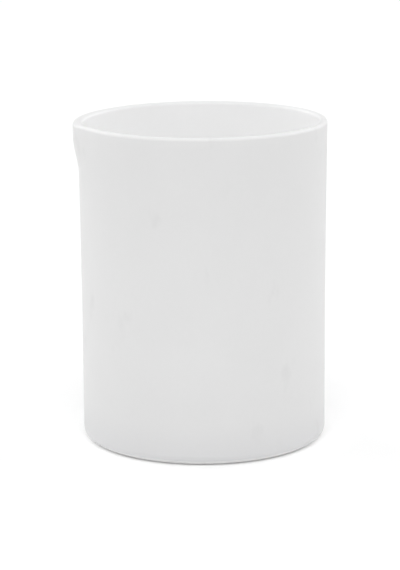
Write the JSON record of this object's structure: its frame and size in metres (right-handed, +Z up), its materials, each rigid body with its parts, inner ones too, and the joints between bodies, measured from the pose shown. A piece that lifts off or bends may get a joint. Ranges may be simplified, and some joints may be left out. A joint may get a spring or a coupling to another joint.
{
  "type": "porcelain crucible, beaker form",
  "caption": "Tall plain white porcelain crucible of the beaker form, with an open top, a small pouring lip and a flat bare foot.",
  "frame": {"origin": "centre of the flat underside, on the vessel's axis, where it stands", "axes": "+Z up along the vessel's axis, -X towards the pouring lip"},
  "size_m": [0.0706, 0.0692, 0.09],
  "materials": {
    "bare_porcelain": "matte",
    "white_glaze": "satin"
  },
  "bodies": {
    "root": {"porcelain_body": "bare_porcelain", "glaze_coat": "white_glaze"}
  },
  "joints": []
}
